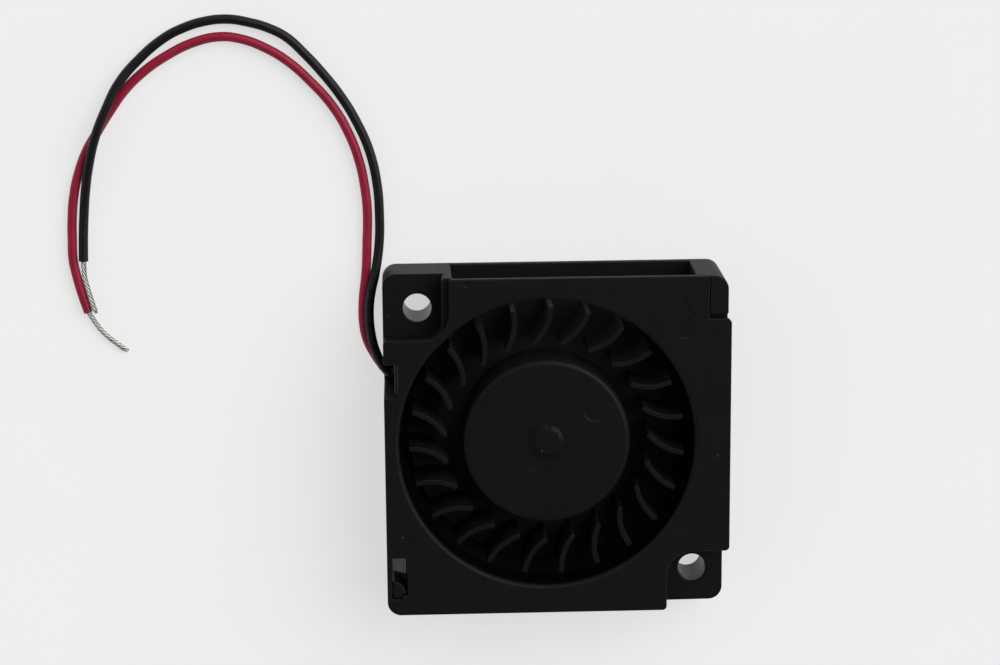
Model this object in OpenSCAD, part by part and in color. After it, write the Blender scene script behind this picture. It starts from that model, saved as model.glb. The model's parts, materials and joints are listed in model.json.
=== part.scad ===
// Small radial blower with a square body, a clipped cover and two lead wires.
// Millimetres. The origin is the centre of the square body on its back face,
// +Z points out of the air inlet and +Y out of the air outlet.

/* [Body] */
// Side of the square body
body_size = 40; // [39.5:0.5:42]
// Depth of the body from back face to cover front
body_depth = 10; // [10:0.25:11]
// Thickness of the base floor
floor_t = 1; // [0.9:0.05:1.2]
// Thickness of the moulded side walls
wall_t = 1.25; // [1.1:0.05:1.4]
// Thickness of the cover plate
cover_t = 0.9; // [0.8:0.05:1.1]
// Radius of the outer corners
corner_r = 1.6; // [1.2:0.1:2.2]
// How far the cover reaches past the base on its plain side
cover_lip = 0.4; // [0.1:0.05:0.45]

/* [Mounting ears] */
// Distance from the body sides to the centre of a mounting hole
hole_inset = 4; // [3.6:0.1:4.2]
// Diameter of the mounting holes
hole_d = 3.3; // [2.8:0.1:3.5]
// Thickness of an ear
ear_t = 6.25; // [4.5:0.25:7]
// Width of the recess in the cover over the ear beside the outlet
ear_w = 7.6; // [7.3:0.1:7.8]
// Height of that recess
ear_h = 7.05; // [6.9:0.05:7.2]
// Width of the recess in the cover over the other ear
far_ear_w = 7.3; // [7.1:0.05:7.5]
// Height of that recess
far_ear_h = 7.15; // [7:0.05:7.3]
// Inner corner radius of a recess in the cover
ear_round = 3.1; // [2.8:0.1:3.4]
// Rounding where a recess meets the outer sides
ear_edge_r = 0.5; // [0.3:0.05:0.7]
// Width of the base rim that shows beside the ear at the outlet
ledge_w = 0.85; // [0.6:0.05:1]
// How far the cover reaches over that ear along its other side
ear_lap = 0.3; // [0.1:0.05:0.4]
// Inner corner radius of the recess in the base behind that rim
ledge_round = 2.2; // [2:0.1:2.6]

/* [Air path] */
// Offset of the rotor axis from the body centre, across
axis_x = -1.25; // [-1.4:0.05:-1.1]
// Offset of the rotor axis from the body centre, along the outlet
axis_y = 0.45; // [0.3:0.05:0.6]
// Growth of the scroll radius over each quarter turn
scroll_step = 1.2; // [1.1:0.05:1.25]
// Gap between the blade tips and the narrow end of the scroll
tip_gap = 0.9; // [0.7:0.05:1.2]
// Gap between the blade tips and the edge of the inlet hole
inlet_gap = 1.1; // [0.8:0.05:1.2]
// Bevel on the front edge of the inlet hole
inlet_bevel = 0.3; // [0.1:0.05:0.5]
// Thickness of the outlet pillar
pillar_w = 4.05; // [3.6:0.05:4.5]
// Length over which the duct narrows towards the outlet
throat_len = 5; // [4:0.5:6]

/* [Cover clips] */
// Width of the lead notch along the cover edge
notch_len = 3.9; // [3.6:0.1:4.2]
// Depth of the lead notch
notch_w = 1.55; // [1.4:0.05:1.7]
// Height of the notch centre above the body centre
notch_y = 8.15; // [8:0.05:8.3]
// Length of the corner window
window_len = 4.5; // [4.3:0.1:4.8]
// Width of the corner window
window_w = 1.8; // [1.6:0.05:2]
// Strip of cover left outside the corner window
window_rim = 0.55; // [0.4:0.05:0.7]
// Strip of cover left below the corner window
window_foot = 2.45; // [2.2:0.05:2.8]
// Width of the corner post beside the outlet
post_w = 2.5; // [2.2:0.1:2.8]
// Length of the corner post
post_len = 4.5; // [4.2:0.1:4.8]

/* [Impeller] */
// Number of blades
blade_count = 23; // [17:1:25]
// Thickness of a blade
blade_t = 0.6; // [0.4:0.05:0.7]
// Length of a blade along the radius through its tip
blade_chord = 4.2; // [3.9:0.1:4.6]
// Radius of the blade curve
blade_curve_r = 6; // [5.6:0.1:7]
// Depth of the blade tops below the cover front
impeller_drop = 1; // [0.8:0.05:1.2]
// Thickness of the back disc
disc_t = 0.6; // [0.5:0.05:0.8]
// Radius of the hub
hub_r = 9.7; // [9.3:0.05:9.8]
// Wall of the hub cup
hub_wall = 0.75; // [0.65:0.05:0.9]
// Thickness of the hub top
hub_top_t = 0.8; // [0.75:0.05:0.9]
// Rounding of the hub rim
hub_round = 0.6; // [0.3:0.05:0.7]

/* [Motor] */
// Diameter of the shaft
shaft_d = 1.5; // [1.3:0.1:1.6]
// Outer diameter of the sleeve bearing
bearing_d = 3.8; // [3.5:0.1:3.9]
// Gap between the bearing tube and the boss of the hub
boss_gap = 0.45; // [0.35:0.05:0.8]
// Wall of the bearing tube
tube_wall = 0.65; // [0.55:0.05:0.75]
// Thickness of the steel yoke
yoke_t = 0.5; // [0.4:0.05:0.6]
// Radial thickness of the ring magnet
magnet_t = 1.15; // [1:0.05:1.25]
// Gap between the ring magnet and the yoke plate
magnet_gap = 0.7; // [0.4:0.05:1]
// Air gap between magnet and stator
air_gap = 0.35; // [0.25:0.05:0.45]
// Height of the stator core
core_h = 1.6; // [1.4:0.1:1.8]
// Width of a stator tooth
tooth_w = 1.6; // [1.4:0.1:1.8]
// Thickness of the insulator plates
insulator_t = 0.35; // [0.25:0.05:0.4]
// Build-up of a winding around its tooth
winding_t = 0.85; // [0.6:0.05:0.9]
// Radius of the circuit board
board_r = 8; // [7.8:0.05:8.2]
// Thickness of the circuit board
board_t = 0.6; // [0.5:0.05:0.7]

/* [Leads] */
// Diameter of a lead over its insulation
lead_d = 1.1; // [1:0.01:1.1]
// Diameter of the bare strands
strand_d = 0.55; // [0.4:0.05:0.55]

/* [Hidden] */
$fn = 96;

// Clearances
seat_gap = 0.02;
run_gap = 0.03;
clip_gap = 0.1;
rotor_gap = 0.4;
over = 1;

// Body levels and places
half = body_size / 2;
cover_z = body_depth - cover_t;
hole_at = half - hole_inset;

// Scroll drawn with four quarter arcs, each a step larger than the last
scroll_c = scroll_step / 2;
scroll_r = half + axis_x - wall_t - scroll_c;
tip_r = scroll_r - tip_gap;
inlet_r = tip_r + inlet_gap;
duct_left = -half + ear_w - ledge_w + wall_t - axis_x;
duct_right = scroll_c + scroll_r + 2 * scroll_step;
outlet_right = half - pillar_w - axis_x;
duct_top = half - axis_y;
throat_y = duct_top - post_len - clip_gap;

// Corner pocket behind the scroll
pocket_len = 9;

// Clip lug in the corner window
window_x = -half + window_rim;
window_y = -half + window_foot;
lug_r = 1.55;
lug_drop = 0.15;
lug_nose = 0.35;
lug_nose_w = 1;
lug_nose_t = 0.35;
ramp_z = 4.9;
ramp_angle = 62;

// Cut corner of the cover beside the post
post_gap = 0.5;
lip_chamfer = 0.45;

// Shallow round seat on the back face
seat_r = 11;
seat_depth = 0.2;

// Rotor levels
board_top = floor_t + board_t;
disc_z = board_top + rotor_gap;
impeller_top = body_depth - impeller_drop;
hub_in_r = hub_r - hub_wall;
hub_ceiling = impeller_top - hub_top_t;
boss_r = 1.7;
boss_h = 1.2;
cone_r = 2.25;
cone_top_r = 1.3;
cone_h = 0.3;
blade_turn = 9.9;

// Yoke and magnet inside the hub
yoke_r = hub_in_r - seat_gap;
yoke_inset = 0.3;
yoke_z = disc_z + yoke_inset;
yoke_hole_r = 2.6;
magnet_inset = 0.1;
magnet_r = yoke_r - yoke_t - seat_gap;
magnet_z = yoke_z + magnet_inset;
magnet_h = hub_ceiling - yoke_t - magnet_gap - magnet_z;
magnet_in_r = magnet_r - magnet_t;

// Stator on the bearing tube
pole_count = 4;
stator_r = magnet_in_r - air_gap;
shoe_t = 0.8;
shoe_half_angle = 36;
core_z = magnet_z + magnet_h / 2 - core_h / 2;
core_top = core_z + core_h;
core_hub_t = 1.3;
insulator_z = core_z - insulator_t;
insulator_lap = 0.2;
flange_t = 0.3;
flange_h = 0.55;
flange_w = 4;

// Bearing tube, bearing and thrust parts
bearing_r = bearing_d / 2;
tube_in_r = bearing_r + seat_gap;
tube_r = tube_in_r + tube_wall;
tube_seat_r = tube_r + seat_gap;
shoulder_w = 0.6;
shoulder_r = tube_r + shoulder_w;
pad_z = 0.5;
pad_t = 0.4;
pad_r = 1;
sump_z = pad_z + pad_t;
sump_r = 1.5;
sump_h = 0.7;
bearing_z = sump_z + sump_h;
tube_rise = 0.55;
tube_top = hub_ceiling - boss_h - boss_gap;
bearing_top = tube_top - tube_rise;
bearing_len = bearing_top - bearing_z;

// Shaft and what it carries
shaft_r = shaft_d / 2;
shaft_z = sump_z + run_gap;
shaft_sunk = 0.3;
shaft_top = hub_ceiling + shaft_sunk;
shaft_tip_h = 0.2;
shaft_tip_w = 0.3;
shaft_tip_r = shaft_r - shaft_tip_w;
groove_depth = 0.15;
groove_r = shaft_r - groove_depth;
groove_rise = 0.07;
groove_z = shaft_z + shaft_tip_h + groove_rise;
groove_w = 0.25;
ring_t = groove_w - 2 * seat_gap;
ring_r = 1.25;
ring_split = 0.5;
washer_t = 0.25;
washer_gap = 0.1;
washer_z = bearing_top + washer_gap;
washer_r = 1.6;

// Windings
core_hub_r = tube_seat_r + core_hub_t;
coil_gap = 0.15;
coil_in = core_hub_r + coil_gap;
flange_gap = 0.05;
coil_out = stator_r - shoe_t - flange_t - flange_gap;
coil_bore_w = tooth_w + 2 * insulator_lap + 2 * seat_gap;
coil_bore_h = core_h + 2 * insulator_t + 2 * seat_gap;
coil_round = 0.7;

// Board parts
pin_r = 0.2;
pin_inset = 0.25;
pin_at = core_hub_r - pin_inset;
pin_count = 4;
pin_turn = 45;
driver_size = [2.9, 1.6, 0.9];
driver_at = 5.7;
leg_size = [0.35, 0.5, 0.3];
leg_pitch = 0.75;
chip_size = [0.8, 1.6, 0.6];
chip_at = 6;
chip_turns = [100, 225, 315];

// Board notches, the tunnel through the scroll wall and the channel in the floor to its mouth
lead_r = lead_d / 2;
strand_r = strand_d / 2;
lead_side = 0.6;
lead_z = 1.05;
channel_w = 2.6;
channel_z = 0.45;
tunnel_x = -half + notch_w - clip_gap;
tunnel_y = 6.4;
tunnel_len = 3.65;
tunnel_w = 4.2;
tunnel_h = 2.5;
mouth_in = 2.55;
mouth_rise = 3.999;
lead_turn = atan2(tunnel_y + mouth_rise - axis_y, tunnel_x + mouth_in - axis_x);
channel_end = scroll_r + scroll_c;
tail_gap = 0.45;
tail_in = board_r + tail_gap;
tail_back = 4.05;
tail_mid = channel_end - tail_back;
board_notch_w = 0.8;
board_notch_len = 1.7;
solder_r = 0.55;
solder_inset = 1.3;
solder_at = board_r - solder_inset;
stub_sunk = 0.3;
stub_z = board_top - stub_sunk;
lead_sides = 8;

// Lead points on the surface that the fan lies on, from the exit to the stripped end,
// with x counted from the side of the body
exit_way = [-0.6, 0.8, 0];
black_exit = [0, 8, 2.2];
red_exit = [0, 7.7, 1.05];
black_points = [
    black_exit, [-0.8, 9.6, 2.1], [-1.4, 11.8, 1.85], [-1.6, 14.5, 1.6],
    [-1.4, 16.6, 1.5], [-0.8, 19.2, 1], [-0.3, 22.5, 0.6], [-0.2, 26, 0.6],
    [-0.4, 29.5, 0.6], [-1.2, 33.4, 0.6], [-2.7, 37, 0.6], [-4.4, 39.9, 0.6],
    [-6.2, 42.3, 0.6], [-8.5, 44.9, 0.6], [-10.4, 46.7, 0.6], [-12.2, 47.7, 0.6],
    [-14.7, 48.5, 0.6], [-17.3, 48.9, 0.6], [-20.1, 48.6, 0.6], [-22.3, 47.9, 0.6],
    [-24.3, 46.9, 0.6], [-27.3, 44.5, 0.8], [-29.7, 41.8, 1.3], [-31.2, 39, 1.7],
    [-32.6, 35.7, 1.75], [-33.5, 32.4, 1.5], [-34.1, 29.2, 0.9], [-34.4, 26.6, 0.6],
    [-34.6, 23.8, 0.6], [-34.7, 21, 0.7]
];
red_points = [
    red_exit, [-1, 9.2, 0.9], [-1.9, 11, 0.7], [-2.3, 13, 0.6],
    [-2.3, 15.6, 0.6], [-1.9, 19.1, 0.6], [-1.7, 22.8, 0.6], [-1.6, 26.4, 0.6],
    [-1.8, 28.9, 0.6], [-2.4, 32.2, 0.6], [-3.6, 35.6, 0.6], [-5.4, 38.8, 0.6],
    [-7.9, 41.7, 0.6], [-10.4, 44, 0.6], [-13, 45.6, 0.6], [-15.6, 46.6, 0.6],
    [-18, 46.9, 0.6], [-21, 46.3, 0.6], [-24.2, 44.8, 0.6], [-27, 42.9, 0.6],
    [-29.2, 40.8, 0.6], [-30.9, 38.5, 0.6], [-32.4, 36.2, 0.6], [-33.8, 33.9, 0.6],
    [-34.9, 31.1, 0.6], [-35.5, 28.6, 0.6], [-35.8, 26, 0.6], [-35.9, 23.5, 0.6],
    [-35.9, 21.2, 0.6], [-35.5, 18.9, 0.6], [-35, 16.9, 0.6], [-34.4, 14.9, 0.6]
];
black_strand_points = [
    [-34.7, 21, 0.7], [-34.6, 19, 0.8], [-34.2, 17.3, 0.9], [-33.8, 15.8, 1],
    [-33.5, 14.8, 1]
];
red_strand_points = [
    [-34.4, 14.9, 0.6], [-34, 14.2, 0.55], [-33.2, 12.9, 0.45], [-32.1, 11.7, 0.4],
    [-31, 10.8, 0.35], [-30, 10, 0.35]
];
black_tail_points = [
    black_exit, [0.7, 7.4, 2.2], [1.6, 7.6, 2.2], [2.5, 8.4, 2], [3.3, 9.3, 1.6],
    [4.4, 9.9, 1.2], [5.6, 9.9, 1.05], [6.7, 9.3, 1.05]
];
red_tail_points = [
    red_exit, [0.7, 7.1, 1.05], [1.7, 7.1, 1.05], [2.8, 7.6, 1.05], [3.9, 8.35, 1.05],
    [4.9, 8.7, 1.05], [6, 8.3, 1.05]
];

// Lead routes about the centre of the body
black_route = from_side(black_points);
red_route = from_side(red_points);
black_strand_route = from_side(black_strand_points);
red_strand_route = from_side(red_strand_points);
black_tail_route = concat(from_side(black_tail_points),
    [channel_point(tail_mid, -lead_side), channel_point(tail_in, -lead_side)]);
red_tail_route = concat(from_side(red_tail_points),
    [channel_point(tail_mid, lead_side), channel_point(tail_in, lead_side)]);

// Route moved from the side of the body to the body's centre
function from_side(route) = [for (point = route) point - [half, 0, 0]];

// Point in the floor channel at a radius from the rotor axis and a step to one side
function channel_point(r, side) = [
    axis_x + r * cos(lead_turn) - side * sin(lead_turn),
    axis_y + r * sin(lead_turn) + side * cos(lead_turn),
    lead_z
];

// Swept tubes

function unit(v) = v / norm(v);

// Direction of a route at point i, given the way it starts
function route_way(route, i, first_way) =
    i == 0 ? first_way :
    i == len(route) - 1 ? unit(route[i] - route[i - 1]) :
    unit(unit(route[i] - route[i - 1]) + unit(route[i + 1] - route[i]));

// Ring of points around a route at point i
function route_ring(route, i, r, first_way) =
    let (
        way = route_way(route, i, first_way),
        side = unit(cross(way, [0, 0, 1])),
        rise = cross(side, way)
    )
    [for (k = [0 : lead_sides - 1])
        let (a = 360 * (k + 0.5) / lead_sides)
        route[i] + r * cos(a) * side + r * sin(a) * rise];

module route_tube(route, r, first_way) {
    n = lead_sides;
    last = len(route) - 1;
    rings = [for (i = [0 : last]) each route_ring(route, i, r, first_way)];
    sides = [
        for (i = [0 : last - 1], k = [0 : n - 1])
            [i * n + k, i * n + (k + 1) % n, (i + 1) * n + (k + 1) % n, (i + 1) * n + k]
    ];
    near_cap = [for (k = [n - 1 : -1 : 0]) k];
    far_cap = [for (k = [0 : n - 1]) last * n + k];
    polyhedron(points = rings, faces = concat(sides, [near_cap, far_cap]), convexity = 10);
}

// Shared outlines

module at_axis() {
    translate([axis_x, axis_y, 0]) children();
}

module rounded_rect(w, h, r) {
    square([w - 2 * r, h], center = true);
    square([w, h - 2 * r], center = true);
    for (x = [-1, 1], y = [-1, 1])
        translate([x * (w / 2 - r), y * (h / 2 - r)]) circle(r);
}

module body_outline(right_inset) {
    translate([-right_inset / 2, 0])
        rounded_rect(body_size - right_inset, body_size, corner_r);
}

// What rounding takes off an outer corner that points left and up
module corner_trim(r) {
    difference() {
        translate([-over, -r]) square(r + over);
        translate([r, -r]) circle(r);
    }
}

// Recess over an ear in the corner beside the outlet, with inner corner radius r
module ear_cut(w, h, r) {
    translate([-half, half]) {
        translate([-over, r - h]) square([w + over, h - r + over]);
        translate([-over, -h]) square([w - r + over, h + over]);
        translate([w - r, r - h]) circle(r);
        translate([w, 0]) corner_trim(ear_edge_r);
        translate([0, -h]) corner_trim(ear_edge_r);
    }
}

module far_ear_cut() {
    rotate(180) ear_cut(far_ear_w, far_ear_h, ear_round);
}

// Quarter of a disc in the quadrant given by the signs of x and y
module quarter_disc(r, x, y) {
    intersection() {
        circle(r);
        translate([min(x, 0) * r, min(y, 0) * r]) square(r);
    }
}

// Air space around the impeller, about the rotor axis
module scroll_space() {
    c = scroll_c;
    translate([-c, -c]) quarter_disc(scroll_r, -1, 1);
    translate([c, -c]) quarter_disc(scroll_r + scroll_step, -1, -1);
    translate([c, c]) quarter_disc(scroll_r + 2 * scroll_step, 1, -1);
    polygon([
        [duct_left, -c], [c, -c], [c, c], [duct_right, c],
        [duct_right, throat_y - throat_len], [outlet_right, throat_y],
        [outlet_right, duct_top + over], [duct_left, duct_top + over]
    ]);
}

// Hollow corner behind the scroll wall
module corner_pocket() {
    difference() {
        translate([wall_t - half, wall_t - half]) square(pocket_len);
        translate([axis_x + scroll_c, axis_y - scroll_c])
            circle(scroll_r + scroll_step + wall_t);
    }
}

// Housing

module bearing_tube() {
    cylinder(r = tube_r, h = tube_top);
    cylinder(r = shoulder_r, h = insulator_z);
}

module bearing_bore() {
    translate([0, 0, pad_z]) cylinder(r = pad_r + seat_gap, h = pad_t + over);
    translate([0, 0, sump_z]) cylinder(r = sump_r, h = sump_h + over);
    translate([0, 0, bearing_z]) cylinder(r = tube_in_r, h = body_depth);
}

// Port in the side of the base, above the ramp
module ramp_port() {
    translate([-half - over, window_y, ramp_z]) cube([window_w + over, window_len, body_depth]);
}

// Ramp up from the side of the base, with the lug that hooks over the cover
module corner_lug() {
    outer = window_rim + clip_gap - cover_lip;
    run = window_w + outer - 2 * clip_gap;
    length = window_len - 2 * clip_gap;
    top = body_depth - lug_drop;
    translate([window_x + clip_gap, window_y + clip_gap, 0]) {
        translate([-outer, length, 0]) rotate([90, 0, 0]) linear_extrude(length)
            polygon([
                [0, floor_t / 2], [run, floor_t / 2],
                [run, ramp_z + run * tan(ramp_angle)], [0, ramp_z]
            ]);
        translate([0, 0, ramp_z]) linear_extrude(top - ramp_z) quarter_disc(lug_r, 1, 1);
        translate([0, -clip_gap - lug_nose, top - lug_nose_t])
            cube([lug_nose_w, lug_nose + 2 * clip_gap, lug_nose_t]);
    }
}

// Post that fills the cover's cut corner beside the outlet
module corner_post() {
    linear_extrude(body_depth) intersection() {
        body_outline(cover_lip);
        translate([half - post_w, half - post_len]) square(post_len + over);
    }
}

module base_housing() {
    color([0.09, 0.09, 0.095])
    difference() {
        union() {
            difference() {
                linear_extrude(cover_z) body_outline(cover_lip);
                translate([0, 0, floor_t]) linear_extrude(body_depth) {
                    at_axis() scroll_space();
                    corner_pocket();
                }
                translate([0, 0, ear_t]) linear_extrude(body_depth) {
                    ear_cut(ear_w - ledge_w, ear_h + ear_lap, ledge_round);
                    far_ear_cut();
                }
                ramp_port();
            }
            at_axis() bearing_tube();
            corner_lug();
            corner_post();
        }
        at_axis() bearing_bore();
        for (turn = [0, 180]) rotate(turn) translate([-hole_at, hole_at, -over])
            cylinder(d = hole_d, h = body_depth);
        at_axis() translate([0, 0, -over]) cylinder(r = seat_r, h = over + seat_depth);
        at_axis() rotate(lead_turn) translate([tail_in, -channel_w / 2, channel_z])
            cube([channel_end - tail_in, channel_w, floor_t]);
        translate([tunnel_x, tunnel_y, channel_z]) cube([tunnel_len, tunnel_w, tunnel_h]);
        translate([0, 0, channel_z]) linear_extrude(body_depth) lead_notch();
    }
}

// Notch for the leads in the side of the cover and of the base
module lead_notch() {
    translate([-half - over, notch_y - notch_len / 2]) square([notch_w + over, notch_len]);
}

module cover_cuts() {
    ear_cut(ear_w, ear_h, ear_round);
    far_ear_cut();
    at_axis() circle(inlet_r);
    lead_notch();
    translate([window_x, window_y]) square([window_w, window_len]);
    translate([half - post_w - clip_gap, half - post_len - post_gap]) square(body_size);
    translate([half, half - post_len - post_gap]) rotate(45)
        square(lip_chamfer * sqrt(2), center = true);
}

module front_cover() {
    nose_seat = body_depth - lug_drop - lug_nose_t - clip_gap / 2;
    color([0.1, 0.1, 0.105])
    difference() {
        translate([0, 0, cover_z]) linear_extrude(cover_t)
            difference() {
                body_outline(0);
                cover_cuts();
            }
        translate([window_x, window_y - lug_nose - clip_gap, nose_seat])
            cube([lug_nose_w + 2 * clip_gap, lug_nose + 2 * clip_gap, cover_t]);
        at_axis() translate([0, 0, body_depth - inlet_bevel])
            cylinder(r1 = inlet_r, r2 = inlet_r + 2 * inlet_bevel, h = 2 * inlet_bevel);
    }
}

// Bearing and stator

module sleeve_bearing() {
    color([0.62, 0.42, 0.22])
    at_axis() translate([0, 0, bearing_z]) difference() {
        cylinder(r = bearing_r, h = bearing_len);
        translate([0, 0, -over]) cylinder(r = shaft_r + run_gap, h = body_depth);
    }
}

module thrust_pad() {
    color([0.9, 0.88, 0.8])
    at_axis() translate([0, 0, pad_z]) cylinder(r = pad_r, h = pad_t);
}

// Star of teeth around the bearing tube, as wide as given
module tooth_star(hub, reach, width) {
    difference() {
        union() {
            circle(hub);
            for (i = [0 : pole_count - 1])
                rotate(i * 360 / pole_count) translate([0, -width / 2]) square([reach, width]);
        }
        circle(tube_seat_r);
    }
}

module pole_shoe() {
    far = 2 * stator_r;
    intersection() {
        difference() {
            circle(stator_r);
            circle(stator_r - shoe_t);
        }
        polygon([
            [0, 0], far * [cos(shoe_half_angle), -sin(shoe_half_angle)],
            far * [cos(shoe_half_angle), sin(shoe_half_angle)]
        ]);
    }
}

module stator_core() {
    color([0.55, 0.56, 0.58])
    at_axis() translate([0, 0, core_z]) linear_extrude(core_h) {
        tooth_star(core_hub_r, stator_r - shoe_t / 2, tooth_w);
        for (i = [0 : pole_count - 1]) rotate(i * 360 / pole_count) pole_shoe();
    }
}

// Insulator plate at z, with flanges that hold the windings, up or down
module insulator(z, flange_z) {
    color([0.82, 0.8, 0.74])
    at_axis() {
        translate([0, 0, z]) linear_extrude(insulator_t)
            tooth_star(core_hub_r, stator_r - shoe_t, tooth_w + 2 * insulator_lap);
        for (i = [0 : pole_count - 1]) rotate(i * 360 / pole_count)
            translate([coil_out + seat_gap, -flange_w / 2, flange_z])
                cube([flange_t, flange_w, insulator_t + flange_h]);
    }
}

module lower_insulator() {
    insulator(insulator_z, insulator_z - flange_h);
}

module upper_insulator() {
    insulator(core_top, core_top);
}

module coil(i) {
    color([0.72, 0.4, 0.18])
    at_axis() rotate((i - 1) * 360 / pole_count)
        translate([coil_in, 0, core_z + core_h / 2]) rotate([90, 0, 90])
            linear_extrude(coil_out - coil_in) difference() {
                rounded_rect(coil_bore_w + 2 * winding_t, coil_bore_h + 2 * winding_t,
                    coil_round);
                square([coil_bore_w, coil_bore_h], center = true);
            }
}

// Circuit board and what is soldered to it

module at_leads() {
    at_axis() rotate(lead_turn) for (side = [-1, 1]) translate([0, side * lead_side, 0]) children();
}

module at_pins() {
    at_axis() for (i = [0 : pin_count - 1])
        rotate(pin_turn + i * 360 / pin_count) translate([pin_at, 0, floor_t]) children();
}

module circuit_board() {
    color([0.08, 0.32, 0.16])
    difference() {
        at_axis() translate([0, 0, floor_t]) linear_extrude(board_t) difference() {
            circle(board_r);
            circle(shoulder_r + seat_gap);
        }
        at_pins() translate([0, 0, -over]) cylinder(r = pin_r + seat_gap, h = body_depth);
        at_leads() translate([board_r - board_notch_len, -board_notch_w / 2, 0])
            cube([board_notch_len + over, board_notch_w, body_depth]);
    }
}

module terminal_pins() {
    color([0.75, 0.75, 0.72])
    at_pins() cylinder(r = pin_r, h = insulator_z - floor_t);
}

module motor_driver() {
    color([0.12, 0.12, 0.13])
    at_axis() rotate(pin_turn) translate([driver_at, 0, board_top]) {
        translate([-driver_size.y / 2, -driver_size.x / 2, 0])
            cube([driver_size.y, driver_size.x, driver_size.z]);
        for (side = [-1, 1], i = [-1 : 1])
            translate([side * (driver_size.y + leg_size.y) / 2 - leg_size.y / 2,
                i * leg_pitch - leg_size.x / 2, 0])
                cube([leg_size.y, leg_size.x, leg_size.z]);
    }
}

module chip_components() {
    color([0.55, 0.45, 0.35])
    at_axis() for (turn = chip_turns)
        rotate(turn) translate([chip_at, 0, board_top + chip_size.z / 2])
            cube(chip_size, center = true);
}

module solder_joints() {
    color([0.75, 0.76, 0.78])
    at_leads() {
        intersection() {
            translate([solder_at, 0, board_top]) sphere(solder_r);
            translate([solder_at - over, -over, board_top]) cube(2 * over);
        }
        translate([solder_at, 0, stub_z]) cylinder(r = strand_r, h = board_top - stub_z + solder_r / 2);
        translate([solder_at, 0, stub_z]) rotate([0, 90, 0])
            cylinder(r = strand_r, h = tail_in - solder_at);
    }
}

// Leads

module red_lead_tail() {
    color([0.57, 0.11, 0.2]) route_tube(red_tail_route, lead_r, -exit_way);
}

module black_lead_tail() {
    color([0.11, 0.1, 0.11]) route_tube(black_tail_route, lead_r, -exit_way);
}

module red_lead() {
    color([0.57, 0.11, 0.2]) route_tube(red_route, lead_r, exit_way);
}

module black_lead() {
    color([0.11, 0.1, 0.11]) route_tube(black_route, lead_r, exit_way);
}

module strands(route, lead_route) {
    last = len(lead_route) - 1;
    color([0.7, 0.7, 0.7])
        route_tube(route, strand_r, unit(lead_route[last] - lead_route[last - 1]));
}

module red_strands() {
    strands(red_strand_route, red_route);
}

module black_strands() {
    strands(black_strand_route, black_route);
}

// Rotor

// One blade outline with its tip on +X, curving forward towards its round root
module blade_outline() {
    sweep = asin(blade_chord / blade_curve_r);
    far = 2 * blade_curve_r;
    translate([tip_r, blade_curve_r]) {
        intersection() {
            difference() {
                circle(blade_curve_r + blade_t / 2);
                circle(blade_curve_r - blade_t / 2);
            }
            polygon([[0, 0], [0, -far], [-far, -far], far * [-sin(sweep), -cos(sweep)]]);
        }
        rotate(-sweep) translate([0, -blade_curve_r]) circle(blade_t / 2);
    }
}

module hub_profile() {
    r = hub_round;
    translate([0, disc_z]) square([hub_r, impeller_top - disc_z - r]);
    translate([0, disc_z]) square([hub_r - r, impeller_top - disc_z]);
    translate([hub_r - r, impeller_top - r]) circle(r);
    translate([0, impeller_top])
        polygon([[0, 0], [cone_r, 0], [cone_top_r, cone_h], [0, cone_h]]);
}

module impeller() {
    color([0.07, 0.07, 0.075])
    at_axis() difference() {
        union() {
            rotate_extrude() hub_profile();
            translate([0, 0, disc_z]) cylinder(r = tip_r, h = disc_t);
            translate([0, 0, disc_z]) linear_extrude(impeller_top - disc_z)
                for (i = [0 : blade_count - 1])
                    rotate(blade_turn + i * 360 / blade_count) blade_outline();
        }
        difference() {
            translate([0, 0, disc_z - over]) cylinder(r = hub_in_r, h = hub_ceiling - disc_z + over);
            translate([0, 0, hub_ceiling - boss_h]) cylinder(r = boss_r, h = boss_h);
        }
        translate([0, 0, disc_z - over])
            cylinder(r = shaft_r + seat_gap / 2, h = shaft_top - disc_z + over);
    }
}

module rotor_yoke() {
    color([0.5, 0.51, 0.53])
    at_axis() rotate_extrude() {
        translate([yoke_r - yoke_t, yoke_z]) square([yoke_t, hub_ceiling - yoke_z]);
        translate([yoke_hole_r, hub_ceiling - yoke_t]) square([yoke_r - yoke_hole_r, yoke_t]);
    }
}

module ring_magnet() {
    color([0.2, 0.19, 0.19])
    at_axis() translate([0, 0, magnet_z]) difference() {
        cylinder(r = magnet_r, h = magnet_h);
        translate([0, 0, -over]) cylinder(r = magnet_in_r, h = body_depth);
    }
}

module shaft() {
    color([0.78, 0.79, 0.8])
    at_axis() difference() {
        union() {
            translate([0, 0, shaft_z]) cylinder(r1 = shaft_tip_r, r2 = shaft_r, h = shaft_tip_h);
            translate([0, 0, shaft_z + shaft_tip_h])
                cylinder(r = shaft_r, h = shaft_top - shaft_z - shaft_tip_h);
        }
        translate([0, 0, groove_z]) difference() {
            cylinder(r = shaft_r + over, h = groove_w);
            cylinder(r = groove_r, h = groove_w);
        }
    }
}

module retaining_ring() {
    color([0.85, 0.84, 0.78])
    at_axis() translate([0, 0, groove_z + seat_gap]) difference() {
        cylinder(r = ring_r, h = ring_t);
        translate([0, 0, -over]) cylinder(r = groove_r + seat_gap, h = body_depth);
        translate([0, -ring_split / 2, -over]) cube([ring_r + over, ring_split, body_depth]);
    }
}

module oil_washer() {
    color([0.2, 0.2, 0.21])
    at_axis() translate([0, 0, washer_z]) difference() {
        cylinder(r = washer_r, h = washer_t);
        translate([0, 0, -over]) cylinder(r = shaft_r + seat_gap, h = body_depth);
    }
}

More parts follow.
